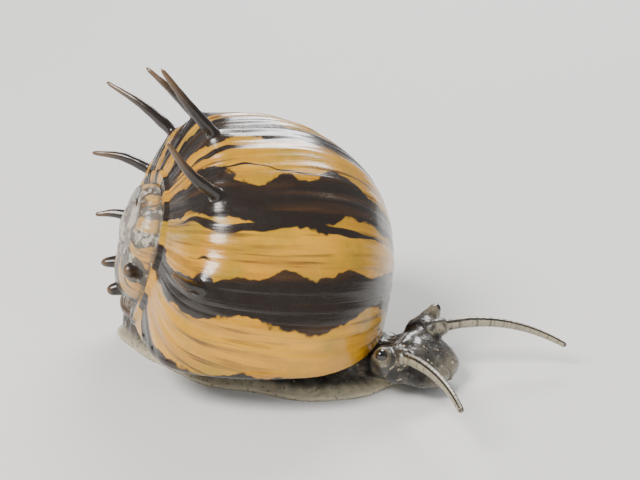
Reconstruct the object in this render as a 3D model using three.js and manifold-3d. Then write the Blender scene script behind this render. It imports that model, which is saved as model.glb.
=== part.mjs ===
// A horned nerite snail, Clithon diadema, life size, crawling on a flat floor with its head out.
// Millimetres. +X points towards the head, +Z up, and the animal's right side, with the spire, faces -Y.
// The floor is z = 0 and the origin lies on the sole of the foot.

import * as THREE from "three";
import { LoftGeometry } from "three/addons/geometries/LoftGeometry.js";
import { mergeVertices } from "three/addons/utils/BufferGeometryUtils.js";
import Module from "manifold-3d";

const wasm = await Module();
wasm.setup();

const { degToRad, lerp, smoothstep, clamp } = THREE.MathUtils;
const TURN = 2 * Math.PI;
const Z = new THREE.Vector3(0, 0, 1);

// Gaps between neighbours: between large pieces, and round the tiny eyes. Slivers under the weld size are
// dropped.
const gap = 0.3;
const eyeGap = 0.12;
const weldSize = 0.002;

// Shell. Sizes are for the growth line at the aperture. Older ones are smaller by the growth per turn, but
// all of them end at one pole on the coiling axis, at the base. Heights are measured along the axis from the
// apex.
const whorlGrowth = 3.1;
const wall = { crestRadius: 5.0, crestHeight: 2.1, radius: 11.7, height: 10.2, pole: 17.4 };
const wallPower = { outer: 0.96, base: 1, inner: 0.8 };
const growthLag = 0.06;
const shoulder = { angle: degToRad(44), spread: degToRad(17), rise: 0.035 };
const ramp = { angle: degToRad(10), spread: degToRad(17), sink: 0.03 };

// The last whorl and the one before it. Each is a little less than a turn, and the older one lies a hair
// inside.
const whorls = [
  { from: -1.62, to: -0.68, steps: 26, inset: 0.02, pole: 12, outside: 20 },
  { from: -0.7, to: 0.25, steps: 40, inset: 0, pole: wall.pole, outside: 26 },
];
const core = { hollow: 0.4, radius: 0.8, top: 1.2 };
const wornApex = { radius: 1.6, height: 0.8, centre: 1.25 };

// How the shell rides on the animal.
const rimHeight = 2.7;
const apexYaw = degToRad(40);
const apexPitch = degToRad(22);
const apex = new THREE.Vector3(-8.9, -3.5, rimHeight + 5.8);

// Aperture: a D whose straight side is the edge of the columellar deck. It takes in this stretch of the last
// whorl.
const apertureSpan = { from: -0.24, to: 0.25 };
const lipThickness = 0.75;
const deckEdge = 1.2;
const apertureDepth = 3.4;
const mantleWidth = 0.9;
const mantleGap = 0.4;
const mantleAbove = 1.3;

// Spines stand on the shoulder. Each has its place along the whorl, its length, how far it leans to the spire
// and how far its tip sweeps back. The oldest are worn down, and the short ones have blunt tips.
const spine = {
  base: 0.62, tip: 0.13, taper: 1.1, root: 0.7,
  wornBase: 0.5, wornTip: 0.75, wornLength: 0.5, wholeLength: 2.6,
  middle: { height: 0.5, sweep: 0.25 }, endHeight: 0.97,
};
const spines = [
  { turn: 0.0, length: 2.7, lean: 0.3, sweep: 0.26 },
  { turn: -0.09, length: 4.7, lean: 0.34, sweep: 0.3 },
  { turn: -0.175, length: 5.5, lean: 0.26, sweep: 0.18 },
  { turn: -0.27, length: 4.4, lean: 0.36, sweep: 0.26 },
  { turn: -0.355, length: 5.7, lean: 0.3, sweep: 0.22 },
  { turn: -0.44, length: 4.3, lean: 0.36, sweep: 0.3 },
  { turn: -0.53, length: 2.6, lean: 0.3, sweep: 0.24 },
  { turn: -0.63, length: 1.3, lean: 0.3, sweep: 0.1 },
  { turn: -0.75, length: 0.8, lean: 0.3, sweep: 0 },
  { turn: -0.9, length: 0.6, lean: 0.3, sweep: 0 },
];

// Foot: an egg-shaped sole with a thin, wavy skirt that slopes up to a plateau.
const foot = {
  centre: -0.8, halfLength: 10.0, halfWidth: 6.0, blunt: 0.12,
  top: 1.5, edge: 0.3, slope: 3.4,
};
const hem = { tuck: 0.25, height: 0.14, setBack: 0.04 };
const skirt = { waves: 7, wave: 0.16, ripples: 11, ripple: 0.1, phase: 0.6, reach: 2 };

// Head: a low lobe under the shell's front edge that widens at the feelers' roots and ends in a broad,
// rounded snout.
const head = {
  rear: 3.6, roots: 9.5, snout: 10.4, front: 12.3, widening: 1.6,
  neckWidth: 2.5, rootWidth: 3.0, snoutWidth: 2.6,
  neckTop: 2.3, rootTop: 3.1, snoutTop: 1.9,
  neckBottom: 0.9, snoutBottom: 0.45,
};
const snoutEnd = { roundness: 2.4, width: 0.12, height: 0.45, level: 0.42 };
const mouth = { width: 0.55, depth: 0.7, height: 1.0, above: 0.1 };

// Feelers and eye stalks. A point is forward of the feelers' roots, out from the middle and above the floor.
// The feelers share their first two points and bend differently beyond them.
const tentacle = { base: 0.46, tip: 0.17, taper: 0.8, buried: 0.12, joint: 0.52 };
const tentacleStart = [[-0.3, 1.75, 2.35], [2.2, 3.6, 3.6]];
const tentacleEnd = {
  left: [[4.9, 5.4, 3.0], [7.6, 6.2, 1.5]],
  right: [[4.9, 5.9, 3.9], [6.6, 7.6, 3.0]],
};
const stalk = {
  base: 0.56, top: 0.5, boss: 0.8, reach: 2.0,
  root: [-0.55, 2.2, 2.1], way: [0.25, 0.8, 0.62],
};
const eyeRadius = 0.4;
const operculum = { length: 7.4, width: 4.2, thickness: 0.4, bevel: 0.08, front: -6.3 };

// How finely each form is cut: points round a section, and steps along it.
const facets = {
  whorl: { inner: 8 }, aperture: { outer: 26, along: 20 }, core: 12, apex: [20, 12],
  spine: { round: 7, along: 5 },
  foot: { round: 56, slope: 6 }, head: { round: 28, along: 16, crowding: 1.6 },
  tentacle: { round: 12, boss: 2, root: 6, tip: 8 }, stalk: { round: 14, along: 3 }, ball: [14, 9],
  operculum: { bevel: 2, curve: 24 },
};

// Solids

// Any closed geometry as a solid for joining and cutting.
function solid(geometry) {
  const bare = new THREE.BufferGeometry();
  bare.setAttribute("position", geometry.getAttribute("position"));
  bare.setIndex(geometry.index);
  const merged = mergeVertices(bare, 1e-4);
  return new wasm.Manifold(
    new wasm.Mesh({
      numProp: 3,
      vertProperties: merged.attributes.position.array,
      triVerts: new Uint32Array(merged.index.array),
    }),
  );
}

// A closed skin over sections that wind right-handed about the way they follow each other.
function loft(sections) {
  return solid(new LoftGeometry(sections, { capStart: true, capEnd: true }));
}

function join(solids) {
  return wasm.Manifold.union(solids);
}

function moved(shape, matrix) {
  return shape.transform(matrix.elements);
}

// Only the largest closed surface of a solid, as a mesh geometry.
function geometryOf(shape) {
  const pieces = shape.simplify(weldSize).decompose();
  const largest = pieces.reduce((a, b) => (b.volume() > a.volume() ? b : a));
  const mesh = largest.getMesh();
  const geometry = new THREE.BufferGeometry();
  geometry.setAttribute("position", new THREE.BufferAttribute(mesh.vertProperties, 3));
  geometry.setIndex(new THREE.BufferAttribute(mesh.triVerts, 1));
  return geometry;
}

// A round, tapering tube along part of a path.
function taperedTube(path, radiusAt, from, to, sides, steps) {
  const sections = [];
  for (let i = 0; i <= steps; i++) {
    const t = lerp(from, to, i / steps);
    const centre = path.getPointAt(t);
    const ahead = path.getTangentAt(t);
    const across = new THREE.Vector3().crossVectors(Z, ahead).normalize();
    const up = new THREE.Vector3().crossVectors(ahead, across);
    sections.push(
      ring(sides, (angle) =>
        centre
          .clone()
          .addScaledVector(across, radiusAt(t) * Math.cos(angle))
          .addScaledVector(up, radiusAt(t) * Math.sin(angle)),
      ),
    );
  }
  return loft(sections);
}

function ring(count, pointAt) {
  return Array.from({ length: count }, (_, i) => pointAt((i / count) * TURN));
}

const bell = (angle, form) => Math.exp(-(((angle - form.angle) / form.spread) ** 2));

// Shell

// A point of the whorl wall. Turn 0 is the aperture and each whorl back is one less. The angle runs from
// the spire side over the periphery to the pole at the base, and back beside the axis. Inset is how far
// inside the outer surface the point lies. The base of a growth line lags behind its top, as on a shell
// whose mouth leans.
function wallPoint(turn, angle, inset = 0, pole = wall.pole) {
  const size = whorlGrowth ** turn;
  const sine = Math.sin(angle);
  const cosine = Math.cos(angle);
  const outside = angle <= Math.PI;
  const top = cosine > 0;
  const swell = shoulder.rise * bell(angle, shoulder) - ramp.sink * bell(angle, ramp);
  const side = outside ? wall.radius * size * (1 + swell) - inset : Math.min(core.hollow, size);
  const crest = top ? wall.crestRadius * size : core.hollow;
  const level = wall.height * size;
  const end = top ? wall.crestHeight * size - level * swell + inset : pole - inset;
  const power = !outside ? wallPower.inner : top ? wallPower.outer : wallPower.base;
  const lag = (growthLag * (1 - cosine)) / 2;
  return new THREE.Vector3(
    crest + (side - crest) * Math.abs(sine) ** power,
    0,
    -level - (end - level) * Math.abs(cosine) ** power,
  ).applyAxisAngle(Z, (lag - turn) * TURN);
}

// A stretch of whorl as a solid. Most of each section's points lie on the outside.
function whorlPiece({ from, to, steps, inset, pole, outside }) {
  const { inner } = facets.whorl;
  const angles = [];
  for (let i = 0; i < inner; i++) angles.push(TURN - (Math.PI * i) / inner);
  for (let i = 0; i < outside; i++) angles.push(Math.PI * (1 - i / outside));
  angles[0] = 0;
  const sections = [];
  for (let i = 0; i <= steps; i++) {
    const turn = lerp(from, to, i / steps);
    sections.push(angles.map((angle) => wallPoint(turn, angle, inset, pole)));
  }
  return loft(sections);
}

// The shell's own frame: x towards the aperture, y to the back of the dome, z to the apex.
const towardsApex = new THREE.Vector3(
  -Math.cos(apexYaw) * Math.cos(apexPitch),
  -Math.sin(apexYaw) * Math.cos(apexPitch),
  Math.sin(apexPitch),
);
const towardsAperture = new THREE.Vector3().crossVectors(Z, towardsApex).normalize();
const towardsBack = new THREE.Vector3().crossVectors(towardsApex, towardsAperture);
const shellFrame = new THREE.Matrix4();
shellFrame.makeBasis(towardsAperture, towardsBack, towardsApex).setPosition(apex);

// Both whorls round a core that fills the hollow at their axis, with a blunt, worn apex.
function coiledShell() {
  const length = wall.pole - core.top;
  const middle = new THREE.CylinderGeometry(core.radius, core.radius, length, facets.core);
  middle.rotateX(Math.PI / 2).translate(0, 0, -core.top - length / 2);
  const boss = new THREE.SphereGeometry(wornApex.radius, ...facets.apex).rotateX(Math.PI / 2);
  boss.scale(1, 1, wornApex.height / wornApex.radius).translate(0, 0, -wornApex.centre);
  const coil = join([...whorls.map(whorlPiece), solid(middle)]);
  return join([coil.trimByPlane([0, 0, -1], wornApex.centre - wornApex.height / 2), solid(boss)]);
}

// What fills the aperture, inset from the outer wall, between two heights above the floor.
function apertureBlock(inset, low, high) {
  const { along, outer } = facets.aperture;
  const span = { ...apertureSpan, steps: along, inset, pole: wall.pole, outside: outer };
  const block = whorlPiece(span).trimByPlane([1, 0, 0], deckEdge + inset - lipThickness);
  return moved(block, shellFrame).trimByPlane([0, 0, 1], low).trimByPlane([0, 0, -1], -high);
}

// A tapering spine that leans towards the spire and sweeps back a little as it rises.
function spineSolid({ turn, length, lean, sweep }) {
  const seat = wallPoint(turn, shoulder.angle);
  const outward = seat.clone().sub(wallPoint(turn, shoulder.angle, 1)).normalize();
  const rise = outward.lerp(Z, lean).normalize();
  const forward = wallPoint(turn + 0.01, shoulder.angle).sub(seat).normalize();
  const at = (height, back) =>
    seat.clone().addScaledVector(rise, height * length).addScaledVector(forward, -back * length);
  const root = seat.clone().addScaledVector(rise, -spine.root);
  const middle = at(spine.middle.height, spine.middle.sweep * sweep);
  const path = new THREE.CatmullRomCurve3([root, seat, middle, at(spine.endHeight, sweep)]);
  const base = lerp(spine.wornBase, spine.base, clamp(whorlGrowth ** turn, 0, 1));
  const whole = smoothstep(length, spine.wornLength, spine.wholeLength);
  const tip = lerp(base * spine.wornTip, spine.tip, whole);
  const radiusAt = (t) => lerp(base, tip, t ** spine.taper);
  return taperedTube(path, radiusAt, 0, 1, facets.spine.round, facets.spine.along);
}

function shellSolid() {
  const whole = moved(join([coiledShell(), ...spines.map(spineSolid)]), shellFrame);
  const cut = whole.trimByPlane([0, 0, 1], rimHeight);
  return cut.subtract(apertureBlock(lipThickness, 0, rimHeight + apertureDepth));
}

// Soft parts

// The outline of the foot seen from above, inset towards its middle line.
function footOutline(angle, inset) {
  const wave =
    skirt.wave * Math.sin(skirt.waves * angle + skirt.phase) +
    skirt.ripple * Math.sin(skirt.ripples * angle);
  const fade = Math.max(0, 1 - inset / skirt.reach);
  const length = foot.halfLength - inset + wave * fade;
  const width = (foot.halfWidth - inset + wave * fade) * (1 + foot.blunt * Math.cos(angle));
  return [foot.centre + length * Math.cos(angle), width * Math.sin(angle)];
}

function footSolid() {
  const section = (inset, height) =>
    ring(facets.foot.round, (angle) => new THREE.Vector3(...footOutline(angle, inset), height));
  const sections = [section(hem.tuck, 0), section(0, hem.height), section(hem.setBack, foot.edge)];
  for (let i = 1; i <= facets.foot.slope; i++) {
    const t = i / facets.foot.slope;
    const height = lerp(foot.edge, foot.top, Math.sin((t * Math.PI) / 2));
    sections.push(section(hem.setBack + foot.slope * t, height));
  }
  return loft(sections);
}

// Half width, top and bottom of the head at a place along it, each grown by the same amount.
function headSection(x, grow) {
  const rise = smoothstep(x, head.roots - head.widening, head.roots);
  const fall = smoothstep(x, head.roots, head.front);
  const taper = smoothstep(x, head.roots, head.snout);
  const nose = clamp((x - head.snout) / (head.front - head.snout), 0, 1);
  const round = Math.sqrt(Math.max(0, 1 - nose ** snoutEnd.roundness));
  const wide = lerp(lerp(head.neckWidth, head.rootWidth, rise), head.snoutWidth, taper);
  const top = lerp(lerp(head.neckTop, head.rootTop, rise), head.snoutTop, fall);
  const bottom = lerp(head.neckBottom, head.snoutBottom, smoothstep(x, head.rear, head.snout));
  const width = wide * lerp(snoutEnd.width, 1, round) + grow;
  return { width, top: top + grow, bottom: bottom - grow, round };
}

// The whole lobe. Its sections crowd towards the rounded front.
function headLobe(grow) {
  const { round: sides, along, crowding } = facets.head;
  const sections = [];
  for (let i = 0; i <= along; i++) {
    const t = i / along;
    const x = lerp(head.rear, head.front, 1 - (1 - t) ** crowding);
    const { width, top, bottom, round } = headSection(x, grow);
    const level = lerp(bottom, top, snoutEnd.level);
    const half = ((top - bottom) / 2) * lerp(snoutEnd.height, 1, round);
    const centre = lerp(level, (top + bottom) / 2, round);
    const shift = lerp(-grow, grow, t);
    const pointAt = (angle) =>
      new THREE.Vector3(x + shift, width * Math.cos(angle), centre + half * Math.sin(angle));
    sections.push(ring(sides, pointAt));
  }
  return loft(sections);
}

// Each feeler's path, from inside the head to its tip. The side is 1 on the left and -1 on the right.
function tentaclePath(side) {
  const points = [...tentacleStart, ...(side > 0 ? tentacleEnd.left : tentacleEnd.right)];
  return new THREE.CubicBezierCurve3(
    ...points.map(([forward, out, height]) => new THREE.Vector3(head.roots + forward, side * out, height)),
  );
}

const tentacleRadius = (t) => lerp(tentacle.base, tentacle.tip, t ** tentacle.taper);

function tentacleSolid(side, from, to, steps) {
  return taperedTube(tentaclePath(side), tentacleRadius, from, to, facets.tentacle.round, steps);
}

function stalkPath(side) {
  const [forward, out, height] = stalk.root;
  const root = new THREE.Vector3(head.roots + forward, side * out, height);
  const way = new THREE.Vector3(stalk.way[0], side * stalk.way[1], stalk.way[2]).normalize();
  return new THREE.LineCurve3(root, root.clone().addScaledVector(way, stalk.reach));
}

function stalkSolid(side, from, to) {
  const { round, along } = facets.stalk;
  const radiusAt = (t) => lerp(stalk.base, stalk.top, t);
  return taperedTube(stalkPath(side), radiusAt, from / stalk.reach, to / stalk.reach, round, along);
}

function eyeCentre(side) {
  return stalkPath(side).getPointAt(1);
}

function ball(radius, centre) {
  return solid(new THREE.SphereGeometry(radius, ...facets.ball).translate(...centre.toArray()));
}

function headSolid() {
  const slit = new THREE.BoxGeometry(mouth.depth * 2, mouth.width, mouth.height);
  slit.translate(head.front, 0, head.snoutBottom + mouth.above);
  const parts = [headLobe(0)];
  for (const side of [1, -1]) {
    parts.push(tentacleSolid(side, 0, tentacle.buried, facets.tentacle.boss));
    parts.push(stalkSolid(side, 0, stalk.boss));
  }
  return join(parts).subtract(solid(slit));
}

// Pieces

const material = (color, roughness) => new THREE.MeshStandardMaterial({ color, roughness, metalness: 0 });
const shellLook = material(0x8a6a22, 0.35);
const fleshLook = material(0x4c463c, 0.45);
const footLook = material(0x8d8468, 0.5);
const mantleLook = material(0x2e2a24, 0.45);
const eyeLook = material(0x08080a, 0.1);
const operculumLook = material(0x7d6f5c, 0.4);

const snail = new THREE.Group();

function add(name, geometry, look) {
  const mesh = new THREE.Mesh(geometry, look);
  mesh.name = name;
  snail.add(mesh);
  return mesh;
}

const inside = lipThickness + mantleGap;
const headRoom = headLobe(gap);

add("shell", geometryOf(shellSolid()), shellLook);

const mantle = apertureBlock(inside, rimHeight, rimHeight + mantleAbove)
  .subtract(apertureBlock(inside + mantleWidth, 0, rimHeight + apertureDepth))
  .subtract(headRoom);
add("mantle_edge", geometryOf(mantle), mantleLook);

const [trunkLow, trunkHigh] = [foot.top + gap, rimHeight + apertureDepth - gap];
const trunk = apertureBlock(inside + mantleWidth + gap, trunkLow, trunkHigh).subtract(headRoom);
add("trunk", geometryOf(trunk), fleshLook);

add("foot", geometryOf(footSolid().subtract(headRoom)), footLook);
add("head", geometryOf(headSolid()), fleshLook);

// Each feeler has two lengths beyond the boss on the head, and each eye sits in a socket at the top of its
// stalk.
for (const [side, name] of [[1, "left"], [-1, "right"]]) {
  const part = gap / tentaclePath(side).getLength();
  const [start, middle] = [tentacle.buried + part, tentacle.joint];
  const { root, tip } = facets.tentacle;
  add(`tentacle_${name}_root`, geometryOf(tentacleSolid(side, start, middle, root)), fleshLook);
  add(`tentacle_${name}_tip`, geometryOf(tentacleSolid(side, middle + part, 1, tip)), fleshLook);
  const socket = ball(eyeRadius + eyeGap, eyeCentre(side));
  const stalkTop = stalkSolid(side, stalk.boss + gap, stalk.reach).subtract(socket);
  add(`eyestalk_${name}`, geometryOf(stalkTop), fleshLook);
  add(`eye_${name}`, geometryOf(ball(eyeRadius, eyeCentre(side))), eyeLook);
}

// The operculum: half an ellipse with its straight side forward, lying on the tail of the foot.
function operculumGeometry() {
  const half = operculum.length / 2;
  const outline = new THREE.Shape();
  outline.moveTo(0, -half);
  outline.absellipse(0, 0, operculum.width, half, -Math.PI / 2, Math.PI / 2, true);
  return new THREE.ExtrudeGeometry(outline, {
    depth: operculum.thickness,
    bevelEnabled: true,
    bevelThickness: operculum.bevel,
    bevelSize: operculum.bevel,
    bevelSegments: facets.operculum.bevel,
    curveSegments: facets.operculum.curve,
  });
}

const lid = add("operculum", geometryOf(solid(operculumGeometry())), operculumLook);
lid.position.set(operculum.front, 0, foot.top + gap + operculum.bevel);

export default snail;
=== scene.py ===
"""A horned nerite snail, Clithon diadema, life size, crawling with its head out.

Shapes are worked out in millimetres in the frame's own axes, and become metres as each piece is finished.
+X points to the head, +Z up, and the spire lies on the animal's right, at -Y.
"""

from functools import partialmethod
import math

import bmesh
import bpy
import numpy as np
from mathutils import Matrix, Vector, noise
from mathutils.bvhtree import BVHTree
from mathutils.kdtree import KDTree


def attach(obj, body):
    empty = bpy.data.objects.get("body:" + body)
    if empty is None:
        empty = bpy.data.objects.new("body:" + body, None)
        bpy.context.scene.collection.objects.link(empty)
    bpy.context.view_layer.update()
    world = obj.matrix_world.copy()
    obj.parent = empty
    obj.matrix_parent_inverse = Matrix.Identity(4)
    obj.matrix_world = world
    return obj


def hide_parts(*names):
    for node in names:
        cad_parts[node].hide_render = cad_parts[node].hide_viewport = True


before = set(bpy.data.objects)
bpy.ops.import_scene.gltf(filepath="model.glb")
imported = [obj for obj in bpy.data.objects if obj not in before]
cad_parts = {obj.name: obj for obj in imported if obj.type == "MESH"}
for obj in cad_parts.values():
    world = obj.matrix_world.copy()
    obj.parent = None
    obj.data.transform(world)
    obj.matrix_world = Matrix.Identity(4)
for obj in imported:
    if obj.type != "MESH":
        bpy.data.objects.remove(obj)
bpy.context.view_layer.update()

MM = 0.001
TURN = 2 * math.pi
UP = np.array([0.0, 0.0, 1.0])
# Beyond everything that is cut
FAR = 40.0
BODY = "root"
# Left and right, as signs of y
SIDES = (1, -1)
rng = np.random.default_rng(7)

# Shell sizes at the growth line of turn 0, as in the solids. Older turns count below 0.
GROWTH, COIL_START, OLDER_END, LAST_START, COIL_END = 3.1, -1.62, -0.68, -0.7, 0.25
CREST_RADIUS, CREST_HEIGHT = 5.0, 2.1
WALL_RADIUS, WALL_HEIGHT = 11.7, 10.2
POLE, OLDER_POLE, OLDER_INSET = 17.4, 12.0, 0.02
OUTER_POWER, BASE_POWER, INNER_POWER = 0.96, 1.0, 0.8
GROWTH_LAG = 0.06
SHOULDER_ANGLE, SHOULDER_SPREAD, SHOULDER_RISE = math.radians(44), math.radians(17), 0.035
RAMP_ANGLE, RAMP_SPREAD, RAMP_SINK = math.radians(10), math.radians(17), 0.03
CORE_HOLLOW, CORE_RADIUS, CORE_TOP = 0.4, 0.8, 1.2
WORN_RADIUS, WORN_HEIGHT, WORN_CENTRE = 1.6, 0.8, 1.25

# How the shell rides on the animal, and its aperture
RIM = 2.7
APEX_YAW, APEX_PITCH = math.radians(40), math.radians(22)
APEX = np.array([-8.9, -3.5, RIM + 5.8])
LIP = 0.75
DECK_EDGE = 1.2
APERTURE_DEPTH, APERTURE_START = 3.4, -0.24
CALLUS_FROM_POLE, CALLUS_FROM_AXIS = 6.6, 0.9
CALLUS_LENGTH, CALLUS_WIDTH, CALLUS_THICK, CALLUS_SWELL = 10.0, 4.6, 0.6, 0.3

# Spines: place along the whorl, length, lean to the spire, backward sweep of the tip
SPINE_BASE, SPINE_TIP, SPINE_ROOT, SPINE_WORN_BASE, SPINE_FLARE = 0.62, 0.13, 0.7, 0.5, 0.35
GROOVE_DEPTH, GROOVE_WIDTH, SPINE_RING = 0.24, 0.42, 0.025
SPINES = [
    (0.0, 2.7, 0.3, 0.26),
    (-0.09, 4.7, 0.34, 0.3),
    (-0.175, 5.5, 0.26, 0.18),
    (-0.27, 4.4, 0.36, 0.26),
    (-0.355, 5.7, 0.3, 0.22),
    (-0.44, 4.3, 0.36, 0.3),
    (-0.53, 2.6, 0.3, 0.24),
    (-0.63, 1.3, 0.3, 0.1),
    (-0.75, 0.8, 0.3, 0.0),
    (-0.9, 0.6, 0.3, 0.0),
]

# Soft parts
FOOT_CENTRE, FOOT_LENGTH, FOOT_WIDTH, FOOT_BLUNT = -0.8, 10.0, 6.0, 0.12
FOOT_TOP, FOOT_SLOPE = 1.5, 3.4
# The edge of the foot: how far in from its outline, and how high. Its waves: count, height and phase.
FOOT_HEM = [(0.5, 0.0), (0.16, 0.0), (0.02, 0.07), (0.0, 0.16), (0.05, 0.26)]
HEM_WAVES, HEM_REACH = [(7, 0.16, 0.6), (11, 0.1, 0.0)], 2.0
HEM_RIPPLES, HEM_RIPPLE = 23, 0.05
HEAD_REAR, HEAD_ROOTS, HEAD_SNOUT, HEAD_FRONT = 3.6, 9.5, 10.4, 12.3
NECK_WIDTH, ROOT_WIDTH, SNOUT_WIDTH = 2.5, 3.0, 2.6
NECK_TOP, ROOT_TOP, SNOUT_TOP = 2.3, 3.1, 1.9
NECK_BOTTOM, SNOUT_BOTTOM = 0.9, 0.45
HEAD_WIDENING, SNOUT_ROUNDNESS = 1.6, 2.4
SNOUT_END_WIDTH, SNOUT_END_HEIGHT, SNOUT_END_LEVEL = 0.12, 0.45, 0.42

# Feelers and eyestalks. A point is forward of the feelers' roots, out from the middle and above the floor.
FEELER_START = [(-0.3, 1.75, 2.35), (2.2, 3.6, 3.6)]
FEELER_END = {1: [(4.9, 5.4, 3.0), (7.6, 6.2, 1.5)], -1: [(4.9, 5.9, 3.9), (6.6, 7.6, 3.0)]}
FEELER_BASE, FEELER_TIP, FEELER_TAPER, FEELER_FLARE = 0.46, 0.17, 0.8, 0.5
BOSS_BASE, BOSS_TOP, BOSS_SHARE = 0.85, 0.5, 0.2
STALK_ROOT, STALK_WAY, STALK_REACH = (-0.55, 2.2, 2.1), (0.25, 0.8, 0.62), 2.0
STALK_BASE, STALK_TOP, STALK_BURIED, STALK_BEYOND = 1.0, 0.5, 0.5, 0.8
EYE_RADIUS, EYE_FORWARD, EYE_PLAY = 0.35, 0.04, 0.02
LENS_SPREAD, LENS_BULGE = 0.16, 0.05

# Folds of the skin
SKIN_VOXEL = 0.1
PLEATS, PLEAT_DEPTH, WRINKLE_DEPTH = 64, 0.05, 0.045
MOUTH_WIDTH, MOUTH_DEPTH, CHIN_CREASE, SNOUT_DIP = 0.1, 0.3, 0.06, 0.22
MOUTH_LIP_OUT, MOUTH_LIP_WIDTH, MOUTH_LIP_HEIGHT = 0.34, 0.17, 0.09

# What fills the aperture, and the operculum
MANTLE_GAP, MANTLE_WIDTH, MANTLE_HEIGHT, TRUNK_GAP, TRUNK_LOW = 0.4, 0.9, 1.3, 0.3, 0.8
FRILLS, FRILL_HEIGHT, FRILL_GRAIN = 46, 0.06, 0.04
# At the trunk's waist: the share of its length and width that is left, and how far it moves
WAIST = [(0.9, 0.2), (0.7, 0.1)]
LID_FRONT, LID_LENGTH, LID_WIDTH, LID_BOW = -6.3, 7.4, 4.2, 0.12
LID_START, LID_THICKNESS, LID_EDGE, LID_GAP, LID_SIDES = (0.9, 2.3), 0.42, 0.18, 0.3, 96
LID_DISH, LID_RIM = 0.1, 0.1
# The lobe under the operculum: share of its outline, and height above the top of the foot
LID_BED = [(0.96, -0.9), (0.94, -0.3), (0.9, 0.2), (0.8, 0.5)]


# Meshes

def smooth(x, low, high):
    t = np.clip((x - low) / (high - low), 0.0, 1.0)
    return t * t * (3 - 2 * t)


def fade(x, low, high):
    return 1 - smooth(x, low, high)


def lerp(a, b, t):
    return a + (b - a) * t


def bell(x, centre, spread):
    return np.exp(-(((x - centre) / spread) ** 2))


def dome(x, power=2):
    """One up to x = 0, then a round fall to zero at x = 1."""
    return math.sqrt(max(0.0, 1 - max(0.0, x) ** power))


def circle(count):
    return np.arange(count) / count * TURN


def direction(yaw, pitch):
    return np.array([math.cos(yaw) * math.cos(pitch), math.sin(yaw) * math.cos(pitch), math.sin(pitch)])


def unit(vectors):
    return vectors / np.linalg.norm(vectors, axis=-1, keepdims=True)


def mesh_object(name, points, faces):
    mesh = bpy.data.meshes.new(name)
    mesh.from_pydata(np.asarray(points).reshape(-1, 3).tolist(), [], faces)
    mesh.update()
    obj = bpy.data.objects.new(name, mesh)
    bpy.context.scene.collection.objects.link(obj)
    return obj


def loft(name, sections, ring=False):
    """A closed skin over rings of points, facing out. A ring of sections joins its last to its first."""
    sections = np.asarray(sections)
    rows, columns = sections.shape[:2]
    points = sections.reshape(-1, 3)
    faces = []
    for i in range(rows if ring else rows - 1):
        for j in range(columns):
            a, b = i * columns + j, i * columns + (j + 1) % columns
            faces.append((a, b, (b + columns) % len(points), (a + columns) % len(points)))
    if not ring:
        faces.append(tuple(reversed(range(columns))))
        faces.append(tuple(range((rows - 1) * columns, rows * columns)))
    fans = [(face[0], face[k], face[k + 1]) for face in faces for k in range(1, len(face) - 1)]
    a, b, c = points[np.array(fans).T]
    volume = np.sum(a * np.cross(b, c)) / 6
    if volume < 0:
        faces = [tuple(reversed(face)) for face in faces]
    return mesh_object(name, points, faces)


def unit_sphere(rows, columns, margin):
    """Rings of points on a sphere of radius 1, down to a small angle from its poles."""
    down = np.linspace(margin, math.pi - margin, rows)[:, None]
    around = circle(columns)[None, :]
    level = np.cos(down) * np.ones_like(around)
    return np.stack([np.sin(down) * np.cos(around), np.sin(down) * np.sin(around), level], axis=-1)


def ball(name, centre, radius):
    return loft(name, unit_sphere(20, 32, 0.03) * radius + centre)


def slab(name, axis, low=-FAR, high=FAR):
    """A block that reaches far out, but for the ends given on one axis."""
    ends = np.array([[-FAR] * 3, [FAR] * 3])
    ends[:, axis] = low, high
    square = [(0, 0), (1, 0), (1, 1), (0, 1)]
    corners = [(ends[i, 0], ends[j, 1], ends[k, 2]) for k in (0, 1) for i, j in square]
    faces = [(3, 2, 1, 0), (4, 5, 6, 7), (0, 1, 5, 4), (1, 2, 6, 5), (2, 3, 7, 6), (3, 0, 4, 7)]
    return mesh_object(name, corners, faces)


def apply_modifiers(obj):
    graph = bpy.context.evaluated_depsgraph_get()
    made = bpy.data.meshes.new_from_object(obj.evaluated_get(graph))
    obj.modifiers.clear()
    obj.data = made
    return obj


def join(obj, other, operation="UNION"):
    """Joins or cuts two closed meshes, and removes the second."""
    step = obj.modifiers.new("join", "BOOLEAN")
    step.operation = operation
    step.solver = "MANIFOLD"
    step.object = other
    apply_modifiers(obj)
    bpy.data.objects.remove(other)
    return obj


def cut(obj, other):
    return join(obj, other, "DIFFERENCE")


def soften(obj, weights, iterations):
    """Evens out the surface where the weights are above zero."""
    group = obj.vertex_groups.new(name="softened")
    for index in np.flatnonzero(weights):
        group.add([int(index)], float(weights[index]), "REPLACE")
    step = obj.modifiers.new("soften", "SMOOTH")
    step.factor = 0.5
    step.iterations = iterations
    step.vertex_group = group.name
    apply_modifiers(obj)
    obj.vertex_groups.clear()


def soften_near(obj, centre, reach, iterations):
    """Evens out the crease round one joint, out to a distance from its centre."""
    away = np.linalg.norm(points_of(obj) - centre, axis=1)
    soften(obj, fade(away, reach * 0.6, reach), iterations)


def keep_largest(obj):
    """Drops the scraps that a cut may leave beside the main body."""
    mesh = bmesh.new()
    mesh.from_mesh(obj.data)
    left, bodies = set(mesh.verts), []
    while left:
        body = edge = {left.pop()}
        while edge:
            edge = {link.other_vert(vertex) for vertex in edge for link in vertex.link_edges} - body
            body = body | edge
        left -= body
        bodies.append(body)
    bodies.sort(key=len)
    bmesh.ops.delete(mesh, geom=[vertex for body in bodies[:-1] for vertex in body], context="VERTS")
    mesh.to_mesh(obj.data)
    mesh.free()


def points_of(obj, kind="co"):
    flat = np.zeros(len(obj.data.vertices) * 3, np.float32)
    obj.data.vertices.foreach_get(kind, flat)
    return flat.reshape(-1, 3).astype(float)


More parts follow.
